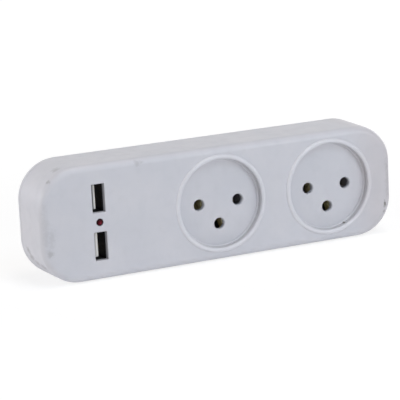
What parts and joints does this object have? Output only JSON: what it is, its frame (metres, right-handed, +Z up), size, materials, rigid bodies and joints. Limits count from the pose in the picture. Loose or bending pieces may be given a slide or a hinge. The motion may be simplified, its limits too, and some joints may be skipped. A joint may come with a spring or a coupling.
{
  "type": "multi socket wall adapter",
  "caption": "Long rounded wall-plug adapter with beaded round-pin socket recesses on the front, upright USB charging ports with a lamp between them, and a round plug boss with pins behind.",
  "frame": {"origin": "on the plug axis, in the plug boss face that seats on the wall socket", "axes": "+X along the bar from the USB end to the socket end, +Y into the wall along the plug pins, +Z up"},
  "size_m": [0.1717, 0.0518, 0.0514],
  "materials": {
    "housing_abs": "satin",
    "white_insulator": "satin",
    "red_lens": "gloss",
    "nickel_pin": "polished",
    "brass_strip": "satin",
    "black_shell": "satin",
    "gilt_contact": "polished",
    "screw_steel": "satin",
    "board_laminate": "satin",
    "tinned_wire": "satin",
    "ferrite": "matte",
    "bobbin_phenolic": "matte",
    "winding_tape": "satin",
    "can_sleeve": "gloss",
    "black_epoxy": "matte",
    "resistor_coat": "satin",
    "disc_coat": "satin",
    "line_insulation": "satin",
    "neutral_insulation": "satin"
  },
  "bodies": {
    "root": {"front_cover": "housing_abs", "rear_cover": "housing_abs", "cover_screws": "screw_steel", "line_pin": "nickel_pin", "neutral_pin": "nickel_pin", "earth_pin": "nickel_pin", "line_busbar": "brass_strip", "neutral_busbar": "brass_strip", "earth_busbar": "brass_strip", "usb_board": "board_laminate", "board_screws": "screw_steel", "upper_usb_shell": "black_shell", "lower_usb_shell": "black_shell", "upper_usb_tongue": "white_insulator", "lower_usb_tongue": "white_insulator", "upper_usb_contacts": "gilt_contact", "lower_usb_contacts": "gilt_contact", "power_led": "red_lens", "led_leads": "tinned_wire", "transformer_core": "ferrite", "transformer_bobbin": "bobbin_phenolic", "transformer_winding": "winding_tape", "mains_capacitor": "can_sleeve", "output_capacitors": "can_sleeve", "bridge_rectifier": "black_epoxy", "controller_chip": "black_epoxy", "fuse_resistor": "resistor_coat", "disc_capacitor": "disc_coat", "line_lead": "line_insulation", "neutral_lead": "neutral_insulation"}
  },
  "joints": []
}
